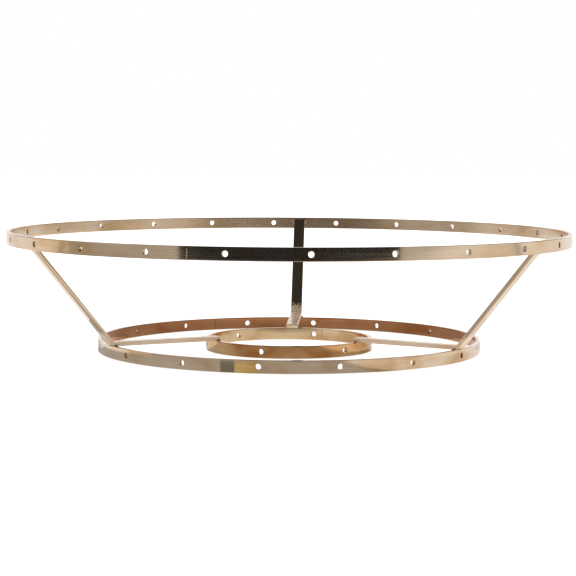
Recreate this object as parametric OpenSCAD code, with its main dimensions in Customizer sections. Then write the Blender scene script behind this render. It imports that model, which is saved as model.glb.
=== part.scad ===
// Three-tier wreath frame: three rings of punched flat strip, joined by three bent struts and
// their weld beads. The frame stands on the lower and inner rings. Its axis is Z, and its base
// is at Z = 0.

/* [Rings] */
// Outer diameter of the top ring
top_ring_d = 460; // [400:1:560]
// Outer diameter of the lower ring
lower_ring_d = 314; // [240:1:380]
// Outer diameter of the inner ring
inner_ring_d = 137; // [90:1:180]
// Height of the whole frame, from the base to the top ring's upper edge
frame_h = 98; // [70:1:140]

/* [Strip] */
// Width of the flat strip, which is the height of each ring
strip_w = 10; // [9:0.5:14]
// Thickness of the flat strip
strip_t = 3.5; // [2.5:0.1:4.5]
// Radius of the strip's rolled edges
edge_r = 0.6; // [0.2:0.1:0.9]

/* [Holes] */
// Diameter of the punched holes
hole_d = 4.4; // [3:0.1:5.4]
// Number of holes in the top ring
top_holes = 24; // [12:2:30]
// Number of holes in the lower ring
lower_holes = 16; // [8:2:20]
// Number of holes in the inner ring
inner_holes = 6; // [4:2:8]
// Direction of the top ring's first hole, anticlockwise from +X
top_hole_dir = 3.6; // [0:0.1:15]
// Direction of the lower ring's first hole, anticlockwise from +X
lower_hole_dir = 14; // [0:0.1:22.5]
// Direction of the inner ring's first hole, anticlockwise from +X
inner_hole_dir = 10.8; // [0:0.1:60]

/* [Struts] */
// Direction of the back strut, anticlockwise from +X; the others follow at equal spacing
strut_dir = 87.4; // [85:0.1:95]
// Inside radius of the bend in each strut
bend_r = 4; // [2:0.5:8]
// Length of the lower ring's edge that a strut covers before its bend starts
seat_len = 1.2; // [0.5:0.1:3]
// How far a strut's arm reaches past the inner ring's inside face
arm_overhang = 0.5; // [0:0.1:2]
// How far a strut's upper end stops short of the top ring's upper edge
strut_top_gap = 1.2; // [0.8:0.1:4]
// Depth of the level cut across a strut's upper end
strut_land = 1.6; // [1.2:0.1:2.4]

/* [Welds] */
// Leg of the fillet beads at the struts' upper ends
top_bead_r = 1.6; // [1:0.1:2.2]
// Leg of the fillet beads where the struts cross the lower and inner rings
seat_bead_r = 1.8; // [1:0.1:2.2]
// Width of the butt weld that closes each ring
seam_w = 1.2; // [0.6:0.1:2]
// How far a butt weld stands proud of the strip
seam_proud = 0.25; // [0.1:0.05:0.5]
// Direction of the top ring's butt weld
top_seam_dir = 251.7; // [248:0.1:254]
// Direction of the lower ring's butt weld
lower_seam_dir = 115.5; // [110:0.1:121]
// Direction of the inner ring's butt weld
inner_seam_dir = 64; // [55:0.1:65]

/* [Hidden] */
$fn = 128;
// Facets drawn on the large cylinder that trims the struts to the top ring's inside
trim_fn = 256;

// Directions of the three struts
back_dir = strut_dir;
left_dir = strut_dir + 120;
right_dir = strut_dir + 240;

// Length that a cutter runs past the material it cuts
past = 1;
// How far a bend's faces stand past the straight faces beside them, so that they meet in clear edges
bend_proud = 0.01;
// How far a side bead's axis lies inside the strut and the top ring, so that no cut is on the axis
bead_inset = 0.1;

// Radii of the rings' outer faces and of their inside faces
top_r = top_ring_d / 2;
lower_r = lower_ring_d / 2;
inner_r = inner_ring_d / 2;
top_bore_r = top_r - strip_t;
lower_bore_r = lower_r - strip_t;
inner_bore_r = inner_r - strip_t;
// Base of the top ring
top_z = frame_h - strip_w;

// A strut's arm lies on the lower ring's upper edge, and its bend turns about this point
bend_x = lower_bore_r + seat_len;
bend_z = strip_w + strip_t + bend_r;
// The upper face of a strut's sloping leg ends at the level cut, short of the top ring
strut_top_z = frame_h - strut_top_gap;
leg_x = top_bore_r - strut_land - bend_x;
leg_z = strut_top_z - bend_z;
// Slope of the leg that is tangent to the bend and passes through that end
leg_slope = atan2(leg_z, leg_x) + asin(bend_r / norm([leg_x, leg_z]));
leg_len = sqrt(leg_x * leg_x + leg_z * leg_z - bend_r * bend_r);
arm_x = inner_bore_r - arm_overhang;
// Height of a strut's upright end face, and the lowest point of that face
strut_end_h = strip_t / cos(leg_slope) - strut_land * tan(leg_slope);
strut_end_z = strut_top_z - strut_end_h;
// Where the strut's side edges meet the top ring's inside face: distance out, and turn about Z
edge_x = sqrt(top_bore_r * top_bore_r - strip_w * strip_w / 4);
edge_turn = asin(strip_w / 2 / top_bore_r);
// Length of the straight part of an upright bead, which ends clear of the cap bead
top_bead_len = strut_end_h - 1.25 * top_bead_r;

// Section of the flat strip, standing on its edge, with its outer face at x
module strip_section(x) {
    translate([x - strip_t, edge_r])
        square([strip_t, strip_w - 2 * edge_r]);
    translate([x - strip_t + edge_r, 0])
        square([strip_t - 2 * edge_r, strip_w]);
    for (cx = [x - strip_t + edge_r, x - edge_r], cz = [edge_r, strip_w - edge_r])
        translate([cx, cz])
            circle(r = edge_r);
}

// Outline, seen from above, of the butt weld that closes a ring whose outer face is at x
module seam_outline(x) {
    crown_r = (seam_w * seam_w / 4 + seam_proud * seam_proud) / (2 * seam_proud);
    intersection() {
        translate([x - strip_t - seam_proud, -seam_w / 2])
            square([strip_t + 2 * seam_proud, seam_w]);
        union() {
            translate([x - strip_t, -seam_w / 2])
                square([strip_t, seam_w]);
            for (cx = [x + seam_proud - crown_r, x - strip_t - seam_proud + crown_r])
                translate([cx, 0])
                    circle(r = crown_r);
        }
    }
}

// A ring of flat strip with a row of punched holes, open where its butt weld goes
module ring(r, z, holes, hole_dir, seam_dir) {
    translate([0, 0, z])
        difference() {
            rotate_extrude()
                strip_section(r);
            for (i = [0 : holes - 1])
                rotate([0, 0, hole_dir + i * 360 / holes])
                    translate([r - strip_t - past, 0, strip_w / 2])
                        rotate([0, 90, 0])
                            cylinder(d = hole_d, h = strip_t + 2 * past);
            rotate([0, 0, seam_dir])
                translate([r - strip_t - past, -seam_w / 2, -past])
                    cube([strip_t + 2 * past, seam_w, strip_w + 2 * past]);
        }
}

// The butt weld of a ring
module seam(r, z, seam_dir) {
    rotate([0, 0, seam_dir])
        translate([0, 0, z])
            linear_extrude(height = strip_w)
                seam_outline(r);
}

// Side view of the space above a strut's face at radius r from its bend's centre
module above_strut(r, arm_end_x, run) {
    tangent_x = r * sin(leg_slope);
    tangent_z = -r * cos(leg_slope);
    end_x = tangent_x + run * cos(leg_slope);
    end_z = tangent_z + run * sin(leg_slope);
    translate([bend_x, bend_z]) {
        circle(r = r + bend_proud);
        polygon([[arm_end_x, -r], [0, -r], [tangent_x, tangent_z], [end_x, end_z], [arm_end_x, end_z]]);
    }
}

// Side view of a strut: x is the distance from the frame's axis, and y is the height
module strut_outline() {
    run = leg_len + 2 * strip_t;
    difference() {
        above_strut(bend_r + strip_t, arm_x - bend_x, run);
        above_strut(bend_r, arm_x - bend_x - past, run + 2 * strip_t);
    }
}

// A strut of flat strip, lying flat side down, with its upper end cut level and to the top ring
module strut(dir) {
    rotate([0, 0, dir])
        intersection() {
            rotate([90, 0, 0])
                linear_extrude(height = strip_w, center = true)
                    strut_outline();
            rotate([0, 0, 180])
                cylinder(r = top_bore_r, h = strut_top_z, $fn = trim_fn);
        }
}

// A round-ended bead along +Z, from the origin
module bead(r, len) {
    rotate_extrude()
        intersection() {
            union() {
                square([r, len]);
                circle(r = r);
                translate([0, len])
                    circle(r = r);
            }
            translate([0, -r])
                square([r, len + 2 * r]);
        }
}

// Section of the bead that fills the corner between a strut's level cut and the top ring
module cap_section() {
    intersection() {
        circle(r = strut_top_gap);
        translate([-strut_top_gap, 0])
            square(strut_top_gap);
    }
}

// An upright bead beside a strut's upper end, flat against the strut and the top ring
module side_bead(side) {
    reach = 2 * top_bead_r;
    intersection() {
        translate([edge_x + bead_inset, side * (strip_w / 2 - bead_inset), strut_end_z])
            bead(top_bead_r, top_bead_len);
        translate([edge_x - reach, side * (strip_w / 2 + reach / 2) - reach / 2, top_z])
            cube([2 * reach, reach, strip_w]);
        rotate([0, 0, side * edge_turn])
            translate([top_bore_r - 2 * reach, -reach, top_z])
                cube([2 * reach, 2 * reach, strip_w]);
    }
}

// Upright beads beside a strut's upper end, and one across the top of it
module top_weld(dir) {
    rotate([0, 0, dir]) {
        for (side = [-1, 1])
            side_bead(side);
        translate([edge_x, 0, strut_top_z])
            rotate([90, 0, 0])
                linear_extrude(height = strip_w, center = true)
                    cap_section();
    }
}

// Beads beside a strut's arm, where it lies on a ring whose outer face is at r
module seat_weld(dir, r) {
    rotate([0, 0, dir])
        for (side = [-1, 1])
            intersection() {
                translate([r - strip_t, side * strip_w / 2, strip_w])
                    rotate([0, 90, 0])
                        bead(seat_bead_r, strip_t - seat_bead_r / 2);
                translate([r - 3 * strip_t, side * (strip_w / 2 + seat_bead_r) - seat_bead_r, strip_w])
                    cube([6 * strip_t, 2 * seat_bead_r, 2 * seat_bead_r]);
            }
}

module top_ring() color([0.80, 0.68, 0.54]) ring(top_r, top_z, top_holes, top_hole_dir, top_seam_dir);
module lower_ring() color([0.78, 0.64, 0.49]) ring(lower_r, 0, lower_holes, lower_hole_dir, lower_seam_dir);
module inner_ring() color([0.76, 0.60, 0.42]) ring(inner_r, 0, inner_holes, inner_hole_dir, inner_seam_dir);
module strut_back() color([0.82, 0.72, 0.59]) strut(back_dir);
module strut_left() color([0.82, 0.72, 0.59]) strut(left_dir);
module strut_right() color([0.82, 0.72, 0.59]) strut(right_dir);
module top_weld_back() color([0.90, 0.82, 0.72]) top_weld(back_dir);
module top_weld_left() color([0.90, 0.82, 0.72]) top_weld(left_dir);
module top_weld_right() color([0.90, 0.82, 0.72]) top_weld(right_dir);
module lower_weld_back() color([0.90, 0.82, 0.72]) seat_weld(back_dir, lower_r);
module lower_weld_left() color([0.90, 0.82, 0.72]) seat_weld(left_dir, lower_r);
module lower_weld_right() color([0.90, 0.82, 0.72]) seat_weld(right_dir, lower_r);
module inner_weld_back() color([0.90, 0.82, 0.72]) seat_weld(back_dir, inner_r);
module inner_weld_left() color([0.90, 0.82, 0.72]) seat_weld(left_dir, inner_r);
module inner_weld_right() color([0.90, 0.82, 0.72]) seat_weld(right_dir, inner_r);
module top_ring_seam() color([0.88, 0.78, 0.66]) seam(top_r, top_z, top_seam_dir);
module lower_ring_seam() color([0.88, 0.78, 0.66]) seam(lower_r, 0, lower_seam_dir);
module inner_ring_seam() color([0.88, 0.78, 0.66]) seam(inner_r, 0, inner_seam_dir);

top_ring();
lower_ring();
inner_ring();
strut_back();
strut_left();
strut_right();
top_weld_back();
top_weld_left();
top_weld_right();
lower_weld_back();
lower_weld_left();
lower_weld_right();
inner_weld_back();
inner_weld_left();
inner_weld_right();
top_ring_seam();
lower_ring_seam();
inner_ring_seam();
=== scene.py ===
"""The looks of a tiered wreath frame, made of punched flat strip with a champagne-gold plate."""

from __future__ import annotations

import logging
import math
from collections.abc import Sequence
from dataclasses import dataclass, field
from enum import Enum
from typing import Any

import bmesh
import bpy
from mathutils import Matrix, Vector


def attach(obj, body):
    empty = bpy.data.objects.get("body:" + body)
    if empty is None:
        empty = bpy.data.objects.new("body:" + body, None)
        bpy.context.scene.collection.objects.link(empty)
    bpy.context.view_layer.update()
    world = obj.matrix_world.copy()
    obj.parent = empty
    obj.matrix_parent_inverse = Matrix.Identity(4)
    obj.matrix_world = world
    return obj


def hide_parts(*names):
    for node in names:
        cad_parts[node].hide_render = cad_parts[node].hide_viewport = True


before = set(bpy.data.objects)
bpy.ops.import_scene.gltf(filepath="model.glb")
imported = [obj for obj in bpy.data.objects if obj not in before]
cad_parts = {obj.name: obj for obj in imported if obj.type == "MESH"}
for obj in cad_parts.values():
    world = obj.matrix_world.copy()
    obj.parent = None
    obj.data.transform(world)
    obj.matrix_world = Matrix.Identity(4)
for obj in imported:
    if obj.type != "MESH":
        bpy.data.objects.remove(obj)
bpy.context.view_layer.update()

log = logging.getLogger("wreath_frame")

MM = 0.001
# Points nearer than this, in millimetres, are one point where a ring's cells meet
CELL_GAP = 0.005
# A bead's divisions along and around it
BEAD_STEPS = 34
BEAD_SIDES = 18
Point = tuple[float, float, float]


class Slot(Enum):
    """The record's material slots."""

    RING = "ring_strip"
    STRUT = "strut_strip"
    WELD = "weld_bead"


def linear(code: str) -> tuple[float, float, float, float]:
    """Turns an sRGB hex colour into linear RGBA.

    Args:
        code: Six hex digits, with or without a leading hash.

    Returns:
        The colour in linear light, with full alpha.
    """
    digits = code.lstrip("#")
    values = [int(digits[i : i + 2], 16) / 255 for i in (0, 2, 4)]
    red, green, blue = (v / 12.92 if v <= 0.04045 else ((v + 0.055) / 1.055) ** 2.4 for v in values)
    return red, green, blue, 1.0


def add_node(tree: bpy.types.NodeTree, kind: str, inputs: dict[Any, Any] | None = None,
             **settings: Any) -> bpy.types.Node:
    """Adds a node with its settings, and fills or links its inputs.

    Args:
        tree: The tree that the node goes in.
        kind: The node's type.
        inputs: For each input's name or number, a plain value, an output to link, or a node whose first
            output is linked.
        **settings: Properties to set on the node first.

    Returns:
        The new node.
    """
    node = tree.nodes.new(kind)
    for name, value in settings.items():
        setattr(node, name, value)
    for key, value in (inputs or {}).items():
        if isinstance(value, bpy.types.Node):
            value = value.outputs[0]
        if isinstance(value, bpy.types.NodeSocket):
            tree.links.new(value, node.inputs[key])
        else:
            node.inputs[key].default_value = value
    return node


@dataclass(frozen=True)
class Strip:
    """The flat strip that every ring and strut is made of, in millimetres."""

    width: float = 10.0
    thickness: float = 3.5
    edge: float = 0.35
    hole_radius: float = 2.2
    hole_lip: float = 0.12


# ---------------------------------------------------------------- finishes


@dataclass(frozen=True)
class BrushedPlate:
    """Champagne-gold plate over mild steel strip that was brushed along its length.

    The brushing draws reflections out across the strip, and the rolled strip's slow waves break them
    into patches. The plate is thin, so its tone drifts between champagne and copper.
    """

    name: str
    light: str
    mid: str
    warm: str
    roughness_low: float = 0.055
    roughness_high: float = 0.13
    # Tints of the outer and the inner face, where light has bounced between two rings
    outside: str = "#FFFFFF"
    inside: str = "#FFFFFF"
    # How much duller the inner face is
    inside_haze: float = 0.0
    # A brush line's darkest and palest share of the tone, and its height in millimetres
    line_dark: float = 0.84
    line_pale: float = 1.05
    line_height: float = 0.02
    line_strength: float = 0.4
    # Weld heat: whether there is any, the heights between which its skin fades where the speckle is blackest,
    # how much higher it reaches where the speckle is whitest, and the speckles' size, all in millimetres, then
    # how much rougher the skin is and its share of bare metal
    heated: bool = False
    heat_fades: tuple[float, float] = (11.0, 14.0)
    heat_ragged: float = 16.0
    speckle_size: float = 1.6
    heat_haze: float = 0.16
    heat_metal: float = 0.55
    # A brush line is about 0.1 mm wide, drawn 0.45 mm wide so that it shows
    line_width: float = 0.45
    # Slow waves left by rolling and bending the strip
    wave_length: float = 38.0
    wave_height: float = 0.035

    def build(self) -> bpy.types.Material:
        """Makes the material, from the piece's own grain attribute in millimetres."""
        material = bpy.data.materials.new(self.name)
        material.use_nodes = True
        tree = material.node_tree
        tree.nodes.clear()
        grain = add_node(tree, "ShaderNodeAttribute", attribute_name="grain")
        # Lines run along the strip, so the pattern hardly changes along it and changes fast across it
        lines_at = add_node(tree, "ShaderNodeMapping", {"Vector": grain.outputs["Vector"],
                            "Scale": (0.012, 0.012, 1 / self.line_width)})
        lines = add_node(tree, "ShaderNodeTexNoise", {"Vector": lines_at, "Scale": 1.0, "Detail": 5.0,
                         "Roughness": 0.65})
        drift_at = add_node(tree, "ShaderNodeMapping", {"Vector": grain.outputs["Vector"],
                            "Scale": (1 / self.wave_length, 1 / self.wave_length, 0.05)})
        drift = add_node(tree, "ShaderNodeTexNoise", {"Vector": drift_at, "Scale": 1.0, "Detail": 2.0,
                         "Roughness": 0.5})
        tone = add_node(tree, "ShaderNodeValToRGB", {"Fac": drift.outputs["Fac"]})
        ramp = tone.color_ramp
        ramp.elements[0].position, ramp.elements[0].color = 0.34, linear(self.warm)
        ramp.elements[1].position, ramp.elements[1].color = 0.66, linear(self.light)
        ramp.elements.new(0.5).color = linear(self.mid)
        shade = add_node(tree, "ShaderNodeMapRange", {"Value": lines.outputs["Fac"], "From Min": 0.3, "From Max": 0.7,
                         "To Min": self.line_dark, "To Max": self.line_pale})
        colour = add_node(tree, "ShaderNodeVectorMath", {0: tone.outputs["Color"], "Scale": shade},
                          operation="SCALE")
        depth = add_node(tree, "ShaderNodeAttribute", attribute_name="inside")
        tint = add_node(tree, "ShaderNodeValToRGB", {"Fac": depth.outputs["Fac"]})
        tint.color_ramp.elements[0].position, tint.color_ramp.elements[0].color = 0.2, linear(self.outside)
        tint.color_ramp.elements[1].position, tint.color_ramp.elements[1].color = 0.8, linear(self.inside)
        tinted = add_node(tree, "ShaderNodeVectorMath", {0: colour, 1: tint.outputs["Color"]},
                          operation="MULTIPLY")
        rough = add_node(tree, "ShaderNodeMapRange", {"Value": lines.outputs["Fac"], "From Min": 0.3, "From Max": 0.7,
                         "To Min": self.roughness_high, "To Max": self.roughness_low})
        waves = add_node(tree, "ShaderNodeBump", {"Height": drift.outputs["Fac"], "Strength": 1.0,
                         "Distance": self.wave_height * MM})
        brushed = add_node(tree, "ShaderNodeBump", {"Height": lines.outputs["Fac"], "Strength": self.line_strength,
                           "Distance": self.line_height * MM, "Normal": waves.outputs["Normal"]})
        duller = add_node(tree, "ShaderNodeMath", {0: depth.outputs["Fac"], 1: self.inside_haze, 2: rough},
                          operation="MULTIPLY_ADD")
        plate = add_node(tree, "ShaderNodeBsdfPrincipled", {"Base Color": tinted, "Metallic": 1.0,
                         "Roughness": duller, "Normal": brushed.outputs["Normal"]})
        if self.heated:
            self.add_heat(tree, plate, duller)
        add_node(tree, "ShaderNodeOutputMaterial", {"Surface": plate.outputs["BSDF"]})
        return material

    def add_heat(self, tree: bpy.types.NodeTree, plate: bpy.types.Node, rough: bpy.types.Node) -> None:
        """Adds the milky, speckled skin, ragged at its end, that heat from the weld left at the foot.

        Args:
            tree: The material's nodes.
            plate: The plate's shader.
            rough: The node that gives the roughness away from the heat.
        """
        place = add_node(tree, "ShaderNodeTexCoord")
        speckle = add_node(tree, "ShaderNodeTexNoise", {"Vector": place.outputs["Object"], "Detail": 4.0,
                           "Scale": 1 / (self.speckle_size * MM), "Roughness": 0.7})
        height = add_node(tree, "ShaderNodeSeparateXYZ", {"Vector": place.outputs["Object"]})
        ragged = add_node(tree, "ShaderNodeMath", {0: speckle.outputs["Fac"], 1: -self.heat_ragged * MM,
                          2: height.outputs["Z"]}, operation="MULTIPLY_ADD")
        low, high = self.heat_fades
        heat = add_node(tree, "ShaderNodeMapRange", {"Value": ragged, "From Min": low * MM, "From Max": high * MM,
                        "To Min": 1.0, "To Max": 0.0})
        milky = add_node(tree, "ShaderNodeMath", {0: heat, 1: self.heat_haze, 2: rough}, operation="MULTIPLY_ADD")
        bare = add_node(tree, "ShaderNodeMapRange", {"Value": heat, "To Min": 1.0, "To Max": self.heat_metal})
        tree.links.new(milky.outputs[0], plate.inputs["Roughness"])
        tree.links.new(bare.outputs[0], plate.inputs["Metallic"])


@dataclass(frozen=True)
class WeldPlate:
    """Champagne-gold plate over a weld bead: no brushing, a pebbled skin, and a paler, softer shine."""

    name: str = "champagne_plate_on_weld_bead"
    light: str = "#ECD9C2"
    dark: str = "#C9AE8C"
    # Size of the pebbling on a bead's skin
    pebble: float = 0.5

    def build(self) -> bpy.types.Material:
        """Makes the material, from Object coordinates."""
        material = bpy.data.materials.new(self.name)
        material.use_nodes = True
        tree = material.node_tree
        tree.nodes.clear()
        place = add_node(tree, "ShaderNodeTexCoord")
        pebbles = add_node(tree, "ShaderNodeTexNoise", {"Vector": place.outputs["Object"],
                           "Scale": 1 / (self.pebble * MM), "Detail": 3.0, "Roughness": 0.6})
        tone = add_node(tree, "ShaderNodeValToRGB", {"Fac": pebbles.outputs["Fac"]})
        tone.color_ramp.elements[0].position, tone.color_ramp.elements[0].color = 0.35, linear(self.dark)
        tone.color_ramp.elements[1].position, tone.color_ramp.elements[1].color = 0.65, linear(self.light)
        rough = add_node(tree, "ShaderNodeMapRange", {"Value": pebbles.outputs["Fac"], "To Min": 0.2, "To Max": 0.42})
        skin = add_node(tree, "ShaderNodeBump", {"Height": pebbles.outputs["Fac"], "Strength": 0.6,
                        "Distance": 0.06 * MM})
        plate = add_node(tree, "ShaderNodeBsdfPrincipled", {"Base Color": tone.outputs["Color"], "Metallic": 1.0,
                         "Roughness": rough, "Normal": skin.outputs["Normal"]})
        add_node(tree, "ShaderNodeOutputMaterial", {"Surface": plate.outputs["BSDF"]})
        return material


@dataclass(frozen=True)
class StudioSurface:
    """Matt paper, cloth or a lit diffuser: no gloss, and an even glow that stands for the light on it."""

    name: str
    colour: str
    glow: float
    light: str = "#FFFFFF"

    def build(self) -> bpy.types.Material:
        """Makes the material."""
        material = bpy.data.materials.new(self.name)
        material.use_nodes = True
        shader = material.node_tree.nodes["Principled BSDF"]
        shader.inputs["Base Color"].default_value = linear(self.colour)
        shader.inputs["Roughness"].default_value = 0.9
        shader.inputs["Specular IOR Level"].default_value = 0.0
        shader.inputs["Emission Color"].default_value = linear(self.light)
        shader.inputs["Emission Strength"].default_value = self.glow
        return material


# ---------------------------------------------------------------- mesh helpers


@dataclass
class Sketch:
    """Faces drawn between points, where points at the same place are shared."""

    points: list[Point] = field(default_factory=list)
    faces: list[list[int]] = field(default_factory=list)
    known: dict[Point, int] = field(default_factory=dict)

    def at(self, point: Sequence[float]) -> int:
        """Finds a point, or adds it if it's new.

        Args:
            point: Its place in millimetres.

        Returns:
            The point's number.
        """
        key = (round(point[0], 4), round(point[1], 4), round(point[2], 4))
        if key not in self.known:
            self.known[key] = len(self.points)
            self.points.append((point[0] * MM, point[1] * MM, point[2] * MM))
        return self.known[key]

    def face(self, *corners: Sequence[float]) -> None:
        """Adds a face, unless its corners fall together."""
        numbers = [self.at(c) for c in corners]
        if len(set(numbers)) == len(numbers):
            self.faces.append(numbers)

    def bands(self, rows: Sequence[Sequence[Sequence[float]]], closed: bool = False) -> None:
        """Fills between neighbouring rows of points.

        Args:
            rows: Rows with the same number of points.
            closed: Whether each row's last point joins its first.
        """
        for a, b in zip(rows, rows[1:]):
            count = len(a) if closed else len(a) - 1
            for i in range(count):
                j = (i + 1) % len(a)
                self.face(a[i], a[j], b[j], b[i])

    def mesh(self, name: str) -> bpy.types.Mesh:
        """Makes a mesh whose faces agree on which way is out.

        Args:
            name: The mesh's name.

        Returns:
            The mesh.
        """
        mesh = bpy.data.meshes.new(name)
        mesh.from_pydata(self.points, [], self.faces)
        work = bmesh.new()
        work.from_mesh(mesh)
        bmesh.ops.recalc_face_normals(work, faces=work.faces)
        work.to_mesh(mesh)
        work.free()
        return mesh


def set_input(modifier: bpy.types.NodesModifier, name: str, value: Any) -> None:
    """Sets a modifier's named input by its socket's identifier.

    Args:
        modifier: A Geometry Nodes modifier.
        name: The input's name in the tree.
        value: Its value.
    """
    for item in modifier.node_group.interface.items_tree:
        if item.item_type == "SOCKET" and item.in_out == "INPUT" and item.name == name:
            modifier[item.identifier] = value


def settle(piece: bpy.types.Object) -> bpy.types.Object:
    """Turns a piece's modifiers into plain mesh with shared points and outward faces.

    Args:
        piece: A mesh object with live modifiers.

    Returns:
        The same object, with no modifiers.
    """
    graph = bpy.context.evaluated_depsgraph_get()
    made = bpy.data.meshes.new_from_object(piece.evaluated_get(graph), preserve_all_data_layers=True, depsgraph=graph)
    piece.modifiers.clear()
    piece.data = made
    made.name = piece.name
    work = bmesh.new()
    work.from_mesh(made)
    bmesh.ops.remove_doubles(work, verts=work.verts, dist=1e-6)
    bmesh.ops.recalc_face_normals(work, faces=work.faces)
    for face in work.faces:
        face.smooth = True
    work.to_mesh(made)
    work.free()
    return piece


def put(name: str, mesh: bpy.types.Mesh) -> bpy.types.Object:
    """Puts a mesh in the scene as an object at the origin."""
    piece = bpy.data.objects.new(name, mesh)
    bpy.context.scene.collection.objects.link(piece)
    return piece


def hand_over(piece: bpy.types.Object, slot: Slot, *nodes: str) -> None:
    """Says what a finished piece rides on and stands for.

    Args:
        piece: A finished piece.
        slot: The material slot that its finish comes from; not used.
        *nodes: The CAD nodes that it stands for.
    """
    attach(piece, "root")
    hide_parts(*nodes)
    log.info("%s: %d faces, stands for %s", piece.name, len(piece.data.polygons), ", ".join(nodes))


# ---------------------------------------------------------------- geometry node trees


def new_tree(name: str, inputs: dict[str, str]) -> bpy.types.NodeTree:
    """Makes an empty Geometry Nodes tree with named inputs and one geometry output.

    Args:
        name: The tree's name.
        inputs: For each input's name, its socket type.

    Returns:
        The tree, which holds no nodes yet.
    """
    tree = bpy.data.node_groups.new(name, "GeometryNodeTree")
    for label, kind in inputs.items():
        tree.interface.new_socket(label, in_out="INPUT", socket_type=kind)
    tree.interface.new_socket("Geometry", in_out="OUTPUT", socket_type="NodeSocketGeometry")
    return tree


def ring_tree() -> bpy.types.NodeTree:
    """Bends a flat cell of strip round a ring, and repeats it once for each hole.

    Returns:
        A tree whose input cell has x along the strip, y into it and z across it.
    """
    tree = new_tree("punched_ring", {"Geometry": "NodeSocketGeometry", "Radius": "NodeSocketFloat",
                    "Thickness": "NodeSocketFloat", "Base": "NodeSocketFloat", "Holes": "NodeSocketInt",
                    "First hole": "NodeSocketFloat", "Finish": "NodeSocketMaterial"})
    given = add_node(tree, "NodeGroupInput").outputs
    flat = add_node(tree, "ShaderNodeSeparateXYZ", {0: add_node(tree, "GeometryNodeInputPosition")}).outputs
    angle = add_node(tree, "ShaderNodeMath", {0: flat["X"], 1: given["Radius"]}, operation="DIVIDE")
    out = add_node(tree, "ShaderNodeMath", {0: given["Radius"], 1: flat["Y"]}, operation="SUBTRACT")
    cosine = add_node(tree, "ShaderNodeMath", {0: angle}, operation="COSINE")
    sine = add_node(tree, "ShaderNodeMath", {0: angle}, operation="SINE")
    bent = add_node(tree, "ShaderNodeCombineXYZ", {
        "X": add_node(tree, "ShaderNodeMath", {0: out, 1: cosine}, operation="MULTIPLY"),
        "Y": add_node(tree, "ShaderNodeMath", {0: out, 1: sine}, operation="MULTIPLY"),
        "Z": add_node(tree, "ShaderNodeMath", {0: flat["Z"], 1: given["Base"]}, operation="ADD")})
    cell = add_node(tree, "GeometryNodeSetPosition", {"Geometry": given["Geometry"], "Position": bent})
    points = add_node(tree, "GeometryNodePoints", {"Count": given["Holes"]})
    step = add_node(tree, "ShaderNodeMath", {0: math.tau, 1: given["Holes"]}, operation="DIVIDE")
    count = add_node(tree, "GeometryNodeInputIndex")
    turn = add_node(tree, "ShaderNodeMath", {0: count, 1: step, 2: given["First hole"]}, operation="MULTIPLY_ADD")
    copies = add_node(tree, "GeometryNodeInstanceOnPoints", {
        "Points": points, "Instance": cell, "Rotation": add_node(tree, "ShaderNodeCombineXYZ", {"Z": turn})})
    real = add_node(tree, "GeometryNodeRealizeInstances", {"Geometry": copies})
    joined = add_node(tree, "GeometryNodeMergeByDistance", {"Geometry": real, "Distance": CELL_GAP * MM})
    # The grain runs round the ring, so across it is height on a face and distance out on an edge
    part = add_node(tree, "ShaderNodeSeparateXYZ", {0: add_node(tree, "GeometryNodeInputPosition")}).outputs
    level = add_node(tree, "ShaderNodeCombineXYZ", {"X": part["X"], "Y": part["Y"]})
    radial = add_node(tree, "ShaderNodeVectorMath", {0: level}, operation="LENGTH").outputs["Value"]
    lie = add_node(tree, "ShaderNodeCombineXYZ", {
        "X": part["X"], "Y": part["Y"],
        "Z": add_node(tree, "ShaderNodeMath", {0: part["Z"], 1: radial}, operation="ADD")})
    grain = add_node(tree, "ShaderNodeVectorMath", {0: lie, "Scale": 1 / MM}, operation="SCALE")
    marked = add_node(tree, "GeometryNodeStoreNamedAttribute", {"Geometry": joined, "Name": "grain", "Value": grain},
                      data_type="FLOAT_VECTOR", domain="POINT")
    depth = add_node(tree, "ShaderNodeMath", {0: given["Radius"], 1: radial}, operation="SUBTRACT")
    inside = add_node(tree, "ShaderNodeMath", {0: depth, 1: given["Thickness"]}, operation="DIVIDE")
    faced = add_node(tree, "GeometryNodeStoreNamedAttribute", {"Geometry": marked, "Name": "inside", "Value": inside},
                     data_type="FLOAT", domain="POINT")
    dressed = add_node(tree, "GeometryNodeSetMaterial", {"Geometry": faced, "Material": given["Finish"]})
    add_node(tree, "NodeGroupOutput", {"Geometry": dressed})
    return tree


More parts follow.
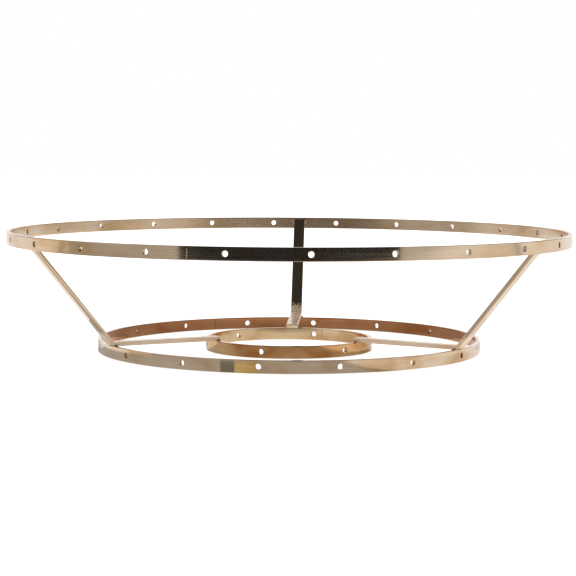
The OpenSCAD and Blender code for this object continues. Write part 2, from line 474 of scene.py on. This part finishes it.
def bead_tree() -> bpy.types.NodeTree:
    """Lays a rippled weld bead along each edge of the input mesh.

    Returns:
        A tree whose beads are round at their ends and swell at each ripple.
    """
    tree = new_tree("weld_beads", {"Geometry": "NodeSocketGeometry", "Radius": "NodeSocketFloat",
                    "Ripple pitch": "NodeSocketFloat", "Ripple depth": "NodeSocketFloat", "Seed": "NodeSocketInt",
                    "Finish": "NodeSocketMaterial"})
    given = add_node(tree, "NodeGroupInput").outputs
    paths = add_node(tree, "GeometryNodeMeshToCurve", {"Mesh": given["Geometry"]})
    fine = add_node(tree, "GeometryNodeResampleCurve", {"Curve": paths, "Count": BEAD_STEPS})
    along = add_node(tree, "GeometryNodeSplineParameter").outputs
    ripples = add_node(tree, "ShaderNodeMath", {0: along["Length"], 1: given["Ripple pitch"]}, operation="DIVIDE")
    phase = add_node(tree, "ShaderNodeMath", {0: math.pi, 1: ripples}, operation="MULTIPLY")
    wave = add_node(tree, "ShaderNodeMath", {0: phase}, operation="SINE")
    hump = add_node(tree, "ShaderNodeMath", {0: wave}, operation="ABSOLUTE")
    ripple = add_node(tree, "ShaderNodeMath", {0: hump, 1: given["Ripple depth"], 2: 1.0}, operation="MULTIPLY_ADD")
    # Inputs 2 and 3 are the least and the most of a plain number
    uneven = add_node(tree, "FunctionNodeRandomValue", {2: 0.94, 3: 1.04, "Seed": given["Seed"]},
                      data_type="FLOAT").outputs[1]
    middle = add_node(tree, "ShaderNodeMath", {0: along["Factor"], 1: 2.0, 2: -1.0}, operation="MULTIPLY_ADD")
    away = add_node(tree, "ShaderNodeMath", {0: middle}, operation="ABSOLUTE")
    fourth = add_node(tree, "ShaderNodeMath", {0: away, 1: 4.0}, operation="POWER")
    end = add_node(tree, "ShaderNodeMath", {0: 1.0, 1: fourth}, operation="SUBTRACT")
    # A bead's ends are never quite a point
    blunt = add_node(tree, "ShaderNodeMath", {0: end, 1: 0.02}, operation="MAXIMUM")
    round_end = add_node(tree, "ShaderNodeMath", {0: blunt}, operation="SQRT")
    swell = add_node(tree, "ShaderNodeMath", {0: ripple, 1: uneven}, operation="MULTIPLY")
    shape = add_node(tree, "ShaderNodeMath", {0: round_end, 1: swell}, operation="MULTIPLY")
    size = add_node(tree, "ShaderNodeMath", {0: given["Radius"], 1: shape}, operation="MULTIPLY")
    outline = add_node(tree, "GeometryNodeCurvePrimitiveCircle", {"Resolution": BEAD_SIDES, "Radius": 1.0})
    solid = add_node(tree, "GeometryNodeCurveToMesh", {"Curve": fine, "Profile Curve": outline, "Scale": size,
                     "Fill Caps": True})
    real = add_node(tree, "GeometryNodeRealizeInstances", {"Geometry": solid})
    dressed = add_node(tree, "GeometryNodeSetMaterial", {"Geometry": real, "Material": given["Finish"]})
    add_node(tree, "NodeGroupOutput", {"Geometry": dressed})
    return tree


# ---------------------------------------------------------------- pieces


@dataclass
class PunchedRing:
    """One ring: strip on its edge with rolled edges and a row of punched holes."""

    node: str
    radius: float
    base: float
    holes: int
    first_hole: float
    strip: Strip = field(default_factory=Strip)
    # Half the side of the square of mesh around a hole, and its divisions along a side
    patch: float = 3.2
    patch_steps: int = 8

    def columns(self) -> list[float]:
        """Places along the cell where the mesh is divided."""
        half = math.pi * self.radius / self.holes
        steps = math.ceil((half - self.patch) / min(3.0, self.radius * 0.022))
        right = [self.patch + (half - self.patch) * i / steps for i in range(1, steps + 1)]
        middle = [self.patch * (2 * i / self.patch_steps - 1) for i in range(self.patch_steps + 1)]
        return [-x for x in reversed(right)] + middle + right

    def rows(self) -> list[float]:
        """Heights on the flat face where the mesh is divided, from one rolled edge to the other."""
        s, mid = self.strip, self.strip.width / 2
        low = [s.edge, s.edge + 0.2]
        middle = [mid + self.patch * (2 * i / self.patch_steps - 1) for i in range(self.patch_steps + 1)]
        return low + middle + [s.width - v for v in reversed(low)]

    def edge_profile(self) -> list[tuple[float, float]]:
        """Depth and height round one rolled edge, from the outer face to the inner."""
        s, turns = self.strip, 5
        arc = [(s.edge * (1 - math.cos(a)), s.edge * (1 - math.sin(a)))
               for a in (math.pi / 2 * i / turns for i in range(turns + 1))]
        back = [(s.thickness - d, v) for d, v in reversed(arc)]
        return arc + [(s.edge + 0.2, 0.0), (s.thickness / 2, 0.0), (s.thickness - s.edge - 0.2, 0.0)] + back

    def hole_rows(self, depth: float) -> list[list[Point]]:
        """Places points between the square around the hole and the hole's lip.

        Args:
            depth: How deep in the strip the face with the points lies, in millimetres.

        Returns:
            Rows of points, from the square in to the lip.
        """
        s, n, mid = self.strip, self.patch_steps, self.strip.width / 2
        side = [self.patch * (2 * i / n - 1) for i in range(n)]
        square = ([(u, -self.patch) for u in side] + [(self.patch, v) for v in side]
                  + [(-u, self.patch) for u in side] + [(-self.patch, -v) for v in side])
        rim = s.hole_radius + s.hole_lip
        rows = []
        for share in (1.0, 0.6, 0.25, 0.0):
            row = []
            for i, (u, v) in enumerate(square):
                a = math.radians(-135 + 360 * i / len(square))
                cu, cv = rim * math.cos(a), rim * math.sin(a)
                row.append((cu + (u - cu) * share, depth, mid + cv + (v - cv) * share))
            rows.append(row)
        return rows

    def hole_wall(self) -> list[list[Point]]:
        """Rows of points through the hole, from the outer lip to the inner."""
        s, turns, mid, count = self.strip, 3, self.strip.width / 2, 4 * self.patch_steps
        lip = [(s.hole_radius + s.hole_lip * (1 - math.sin(a)), s.hole_lip * (1 - math.cos(a)))
               for a in (math.pi / 2 * i / turns for i in range(turns + 1))]
        through = lip + [(s.hole_radius, s.thickness / 2)] + [(r, s.thickness - d) for r, d in reversed(lip)]
        return [[(r * math.cos(a), d, mid + r * math.sin(a))
                 for a in (math.radians(-135 + 360 * i / count) for i in range(count))] for r, d in through]

    def cell(self) -> bpy.types.Mesh:
        """Flat strip around one hole, with x along it, y into it and z across it."""
        s, sketch = self.strip, Sketch()
        columns, rows, mid = self.columns(), self.rows(), self.strip.width / 2
        for depth in (0.0, s.thickness):
            for a, b in zip(columns, columns[1:]):
                for low, high in zip(rows, rows[1:]):
                    if abs(a + b) / 2 < self.patch and abs((low + high) / 2 - mid) < self.patch:
                        continue
                    sketch.face((a, depth, low), (b, depth, low), (b, depth, high), (a, depth, high))
            sketch.bands(self.hole_rows(depth), closed=True)
        sketch.bands(self.hole_wall(), closed=True)
        for flip in (False, True):
            profile = [(d, s.width - v if flip else v) for d, v in self.edge_profile()]
            sketch.bands([[(u, d, v) for d, v in profile] for u in columns])
        return sketch.mesh(self.node + "_cell")

    def make(self, tree: bpy.types.NodeTree, finish: bpy.types.Material) -> None:
        """Builds the ring and hands it over.

        Args:
            tree: The tree that bends and repeats the cell.
            finish: The ring's finish.
        """
        piece = put(self.node + "_strip", self.cell())
        modifier = piece.modifiers.new("ring", "NODES")
        modifier.node_group = tree
        set_input(modifier, "Radius", self.radius * MM)
        set_input(modifier, "Base", self.base * MM)
        set_input(modifier, "Thickness", self.strip.thickness * MM)
        set_input(modifier, "Holes", self.holes)
        set_input(modifier, "First hole", math.radians(self.first_hole))
        set_input(modifier, "Finish", finish)
        hand_over(settle(piece), Slot.RING, self.node)


@dataclass
class BentStrut:
    """One strut: strip laid flat, with a level arm, a bend and a sloping leg."""

    node: str
    direction: float
    strip: Strip = field(default_factory=Strip)
    arm_x: float = 64.5
    bend_x: float = 154.7
    bend_radius: float = 4.0
    bore: float = 226.5
    land: float = 1.6
    top_z: float = 96.8
    # Height of the flat that meets the top ring, radius of the rolled edges, and divisions of each length
    flat: float = 1.8
    edge: float = 0.45
    steps: int = 12

    def slope(self) -> float:
        """Slope of the leg, in radians."""
        x = self.bore - self.land - self.bend_x
        z = self.top_z - self.strip.width - self.strip.thickness - self.bend_radius
        return math.atan2(z, x) + math.asin(self.bend_radius / math.hypot(x, z))

    def end_z(self) -> float:
        """Height where the leg's lower face meets the top ring."""
        return self.top_z + self.land * math.tan(self.slope()) - self.strip.thickness / math.cos(self.slope())

    def stations(self) -> list[tuple[tuple[float, float], tuple[float, float]]]:
        """Pairs of points on the lower and the upper face, from the arm's end to the top."""
        s, slope, steps = self.strip, self.slope(), self.steps
        z = s.width + s.thickness + self.bend_radius
        pairs = [((x, s.width), (x, s.width + s.thickness))
                 for x in (self.arm_x + (self.bend_x - self.arm_x) * i / steps for i in range(steps))]
        for i in range(steps + 1):
            a = slope * i / steps
            pairs.append(tuple((self.bend_x + r * math.sin(a), z - r * math.cos(a))
                               for r in (self.bend_radius + s.thickness, self.bend_radius)))
        last_low, last_high = pairs[-1]
        low, high = (self.bore, self.end_z()), (self.bore - self.land, self.top_z)
        for i in range(1, steps + 1):
            f = i / steps
            pairs.append(tuple((a[0] + (b[0] - a[0]) * f, a[1] + (b[1] - a[1]) * f)
                               for a, b in ((last_low, low), (last_high, high))))
        pairs.append(((self.bore, self.top_z - self.flat), (self.bore, self.top_z)))
        return pairs

    def make(self, finish: bpy.types.Material) -> None:
        """Builds the strut with rolled edges and hands it over.

        Args:
            finish: The strut's finish.
        """
        half, thick, sketch, grain = self.strip.width / 2, self.strip.thickness, Sketch(), []
        turn = Matrix.Rotation(math.radians(self.direction), 3, "Z")
        stations, run, sections = self.stations(), 0.0, []
        for i, (low, high) in enumerate(stations):
            if i:
                run += math.dist(low, stations[i - 1][0])
            corners = [(low, -half, 0.0), (low, half, 0.0), (high, half, thick), (high, -half, thick)]
            section = [tuple(turn @ Vector((p[0], y, p[1]))) for p, y, _ in corners]
            for point, (_, y, through) in zip(section, corners):
                if sketch.at(point) == len(grain):
                    grain.append((run, 0.0, y + through))
            sections.append(section)
        sketch.bands(sections, closed=True)
        sketch.face(*sections[0])
        sketch.face(*sections[-1])
        mesh = sketch.mesh(self.node + "_bar")
        stored = mesh.attributes.new("grain", "FLOAT_VECTOR", "POINT")
        for item, value in zip(stored.data, grain):
            item.vector = value
        mesh.materials.append(finish)
        piece = put(self.node + "_bar", mesh)
        rolled = piece.modifiers.new("rolled_edges", "BEVEL")
        rolled.width, rolled.segments = self.edge * MM, 4
        rolled.limit_method, rolled.angle_limit = "ANGLE", math.radians(35)
        hand_over(settle(piece), Slot.STRUT, self.node)


@dataclass
class WeldBeads:
    """The beads of one weld, each laid along a straight path, in millimetres."""

    node: str
    paths: list[tuple[Point, Point]]
    radius: float
    seed: int
    direction: float = 0.0
    pitch: float = 1.1
    depth: float = 0.1

    def make(self, tree: bpy.types.NodeTree, finish: bpy.types.Material) -> None:
        """Builds the beads and hands them over.

        Args:
            tree: The tree that lays a bead along each path.
            finish: The beads' finish.
        """
        turn = Matrix.Rotation(math.radians(self.direction), 3, "Z")
        points = [tuple(turn @ Vector(p) * MM) for path in self.paths for p in path]
        mesh = bpy.data.meshes.new(self.node)
        mesh.from_pydata(points, [(2 * i, 2 * i + 1) for i in range(len(self.paths))], [])
        piece = put(self.node + "_beads", mesh)
        modifier = piece.modifiers.new("beads", "NODES")
        modifier.node_group = tree
        set_input(modifier, "Radius", self.radius * MM)
        set_input(modifier, "Ripple pitch", self.pitch * MM)
        set_input(modifier, "Ripple depth", self.depth)
        set_input(modifier, "Seed", self.seed)
        set_input(modifier, "Finish", finish)
        hand_over(settle(piece), Slot.WELD, self.node)


@dataclass
class WreathFrame:
    """The whole frame: three rings, three struts and their welds."""

    strip: Strip = field(default_factory=Strip)
    height: float = 98.0
    radii: tuple[float, float, float] = (230.0, 157.0, 68.5)
    strut_directions: dict[str, float] = field(default_factory=lambda: {"back": 87.4, "left": 207.4, "right": 327.4})

    # Directions of the rings' closing welds in degrees, from the top ring to the inner
    seam_directions: tuple[float, float, float] = (251.7, 115.5, 64.0)
    # Radii of the beads at the struts' tops, on their seats and across the rings
    top_bead: float = 1.05
    seat_bead: float = 1.2
    seam_bead: float = 0.6

    def rings(self) -> list[PunchedRing]:
        """The three rings."""
        top, lower, inner = self.radii
        return [PunchedRing("top_ring", top, self.height - self.strip.width, 24, 3.6),
                PunchedRing("lower_ring", lower, 0.0, 16, 14.0),
                PunchedRing("inner_ring", inner, 0.0, 6, 10.8)]

    def welds(self) -> list[WeldBeads]:
        """Every weld: at the struts' tops, on their seats, and across each ring."""
        s, half, made = self.strip, self.strip.width / 2, []
        for number, (side, direction) in enumerate(self.strut_directions.items()):
            strut = BentStrut("strut_" + side, direction)
            face, low, high = strut.bore - 0.1, strut.end_z(), strut.top_z
            made.append(WeldBeads("top_weld_" + side, [
                ((face, -half, low - 1.2), (face, -half, high - 0.2)),
                ((face, half, low - 1.2), (face, half, high - 0.2)),
                ((face - 0.6, -half, high), (face - 0.6, half, high))],
                self.top_bead, 11 + number, direction))
            for name, radius in (("lower", self.radii[1]), ("inner", self.radii[2])):
                inside = radius - s.thickness
                made.append(WeldBeads(f"{name}_weld_{side}", [
                    ((inside - 0.2, y, s.width + 0.2), (radius + 0.1, y, s.width + 0.2)) for y in (-half, half)],
                    self.seat_bead, 31 + number, direction, 0.9))
        for number, (ring, direction) in enumerate(zip(self.rings(), self.seam_directions)):
            low, high = ring.base + 0.5, ring.base + s.width - 0.5
            made.append(WeldBeads(ring.node + "_seam", [
                ((x, 0.0, low), (x, 0.0, high)) for x in (ring.radius - 0.45, ring.radius - s.thickness + 0.45)],
                self.seam_bead, 51 + number, direction, 1.0, 0.08))
        return made

    def make(self) -> None:
        """Builds every piece in order."""
        tones = ("#EBD3B8", "#E6CAAA", "#DDB98F")
        ring_finishes = [BrushedPlate("champagne_plate_on_top_ring", *tones, inside_haze=0.12).build(),
                         BrushedPlate("champagne_plate_on_lower_ring", *tones[:2], "#D0A97E",
                                      inside="#E4B695").build(),
                         BrushedPlate("champagne_plate_on_inner_ring", "#F4E0C4", tones[1], "#C69A6C",
                                      outside="#FBDFB8", inside="#FFF5E2").build()]
        strut_finish = BrushedPlate("champagne_plate_on_brushed_strut_strip", "#EBD3B8", "#E8CDB0", "#E0BE98",
                                    heated=True).build()
        weld_finish = WeldPlate().build()
        # A closing weld takes the tone of the ring it's in; on the lower ring that copper tone is painted light
        # bounced between the rings
        seam_finishes = {"lower_ring_seam": WeldPlate("lower_seam_plate_with_painted_bounce_light", "#CC9468", "#A97248").build(),
                         "inner_ring_seam": WeldPlate("gold_plate_on_inner_seam", "#E6C49A", "#C79E70").build()}
        bend, lay = ring_tree(), bead_tree()
        for ring, finish in zip(self.rings(), ring_finishes):
            ring.make(bend, finish)
        for side, direction in self.strut_directions.items():
            BentStrut("strut_" + side, direction).make(strut_finish)
        for weld in self.welds():
            weld.make(lay, seam_finishes.get(weld.node, weld_finish))


# ---------------------------------------------------------------- studio


@dataclass(frozen=True)
class Wall:
    """Part of the studio's wall on both sides, by direction from the front in degrees, and how bright it is."""

    name: str
    start: float
    end: float
    glow: float
    light: str = "#FFFFFF"


@dataclass(frozen=True)
class TablePatch:
    """Part of the table as the metal mirrors it, with its corners in metres, and how bright it is."""

    name: str
    corners: tuple[tuple[float, float], ...]
    glow: float
    light: str = "#FFFFFF"
    lift: float = -0.001


def across(left: float, right: float, near: float, far: float) -> tuple[tuple[float, float], ...]:
    """Corners of a rectangle between these sides."""
    return ((left, near), (right, near), (right, far), (left, far))


@dataclass
class Studio:
    """A white table in a studio that is dark in front and overhead, lit from its sides and its back."""

    lens: float = 107.8
    place: Point = (-4.79, -1416.8, 172.13)
    pitch: float = 0.0859
    yaw: float = -0.0027
    roll: float = 0.0054
    # The walls stand this far away, in metres, between these heights
    reach: float = 2.6
    floor_z: float = -1.2
    roof_z: float = 2.0
    # Widest card in a wall, in degrees
    wall_step: float = 6.0
    # Left, right, near and far edges in metres
    table_edges: tuple[float, float, float, float] = (-6.0, 6.0, -6.0, 8.0)
    roof_edges: tuple[float, float, float, float] = (-3.0, 3.0, -3.0, 3.0)
    table_z: float = -0.0005
    lamp_place: Point = (-0.5, 0.9, 1.3)
    lamp_aim: Point = (0.0, 0.0, 0.05)
    lamp_size: float = 0.7
    lamp_power: float = 2.0
    walls: tuple[Wall, ...] = (Wall("dark_front", 0, 41, 0.03, "#D2E4FF"), Wall("side_diffusers", 41, 116, 0.5),
                               Wall("dark_gap", 116, 138, 0.16), Wall("white_backdrop", 138, 180, 1.0))
    # Paler behind the frame and on its right, where the light comes from, and dim between the rings
    table: tuple[TablePatch, ...] = (
        TablePatch("dim_table", across(-2.5, 0.085, -1.0, 0.0), 0.46),
        TablePatch("lit_table", across(0.085, 2.5, -1.0, 0.0), 0.9),
        TablePatch("middle_of_the_table", across(-2.5, 2.5, 0.0, 0.075), 0.76),
        TablePatch("dim_back_of_the_table", across(-2.5, 2.5, 0.075, 0.17), 0.44),
        TablePatch("bright_table", across(-2.5, 2.5, 0.17, 2.5), 0.95),
        TablePatch("bright_left", across(-0.5, -0.19, -0.12, 0.17), 1.0, lift=-0.0009),
        TablePatch("bright_right", across(0.19, 0.5, -0.12, 0.17), 1.0, lift=-0.0009),
        TablePatch("black_card", ((-0.051, -0.148), (-0.100, -0.206), (-0.080, -0.216), (-0.041, -0.152)), 0.2,
                   "#FFFFFF", -0.0007),
        TablePatch("yellow_card", ((-0.041, -0.152), (-0.080, -0.216), (-0.048, -0.227), (-0.024, -0.155)), 0.6,
                   "#FFF0B8", -0.0007))

    def card(self, name: str, polygons: Sequence[Sequence[Point]], finish: StudioSurface) -> bpy.types.Object:
        """Puts up flat cards as one object that isn't part of the frame.

        Args:
            name: The object's name.
            polygons: Each card's corners in metres.
            finish: What the cards are made of.

        Returns:
            The object.
        """
        points = [corner for polygon in polygons for corner in polygon]
        starts = [sum(len(q) for q in polygons[:i]) for i in range(len(polygons))]
        mesh = bpy.data.meshes.new(name)
        mesh.from_pydata(points, [], [tuple(range(at, at + len(q))) for at, q in zip(starts, polygons)])
        mesh.materials.append(finish.build())
        card = put(name, mesh)
        return card

    def mirrored_only(self, card: bpy.types.Object) -> None:
        """Lets a card show in reflections alone, as surroundings out of view do."""
        card.visible_camera = card.visible_diffuse = card.visible_shadow = card.visible_transmission = False

    def wall(self, part: Wall) -> None:
        """Builds one part of the wall, on the left and on the right.

        Args:
            part: Where the part stands and how bright it is.
        """
        steps, polygons = max(2, math.ceil((part.end - part.start) / self.wall_step)), []
        for side in (-1, 1):
            turns = [math.radians(part.start + (part.end - part.start) * i / steps) for i in range(steps + 1)]
            feet = [(side * self.reach * math.sin(a), -self.reach * math.cos(a)) for a in turns]
            polygons += [[(*a, self.floor_z), (*b, self.floor_z), (*b, self.roof_z), (*a, self.roof_z)]
                         for a, b in zip(feet, feet[1:])]
        self.mirrored_only(self.card(part.name, polygons, StudioSurface(part.name, "#000000", part.glow, part.light)))

    def make(self) -> None:
        """Sets up the camera, the table, the walls, the roof, a lamp and the surroundings."""
        scene = bpy.context.scene
        scene.view_settings.view_transform = "Standard"
        data = bpy.data.cameras.new("camera")
        data.lens, data.sensor_width, data.clip_end = self.lens, 36.0, 100.0
        camera = bpy.data.objects.new("camera", data)
        turn = (Matrix.Rotation(self.yaw, 4, "Z") @ Matrix.Rotation(math.pi / 2 - self.pitch, 4, "X")
                @ Matrix.Rotation(self.roll, 4, "Z"))
        camera.matrix_world = Matrix.Translation(Vector(self.place) * MM) @ turn
        scene.collection.objects.link(camera)
        scene.camera = camera
        table = self.card("white_table", [[(x, y, self.table_z) for x, y in across(*self.table_edges)]],
                          StudioSurface("white_paper", "#F4F4F2", 0.6))
        table.visible_glossy = False
        for part in self.walls:
            self.wall(part)
        for patch in self.table:
            sheet = [(x, y, patch.lift) for x, y in patch.corners]
            self.mirrored_only(self.card(patch.name, [sheet],
                                         StudioSurface(patch.name, "#000000", patch.glow, patch.light)))
        self.mirrored_only(self.card("dark_roof", [[(x, y, self.roof_z) for x, y in across(*self.roof_edges)]],
                                     StudioSurface("black_cloth", "#000000", 0.04)))
        lamp_data = bpy.data.lights.new("soft_lamp", "AREA")
        lamp_data.shape, lamp_data.size, lamp_data.energy = "SQUARE", self.lamp_size, self.lamp_power
        lamp = bpy.data.objects.new("soft_lamp", lamp_data)
        lamp.location = self.lamp_place
        lamp.rotation_euler = (Vector(self.lamp_aim) - lamp.location).to_track_quat("-Z", "Y").to_euler()
        scene.collection.objects.link(lamp)
        world = bpy.data.worlds.new("surroundings")
        world.use_nodes = True
        world.node_tree.nodes["Background"].inputs["Color"].default_value = (1.0, 1.0, 1.0, 1.0)
        world.node_tree.nodes["Background"].inputs["Strength"].default_value = 1.0
        scene.world = world


def main() -> None:
    """Builds the studio and the frame."""
    logging.basicConfig(level=logging.INFO, format="%(name)s: %(message)s")
    Studio().make()
    WreathFrame().make()


if __name__ == "__main__":
    main()
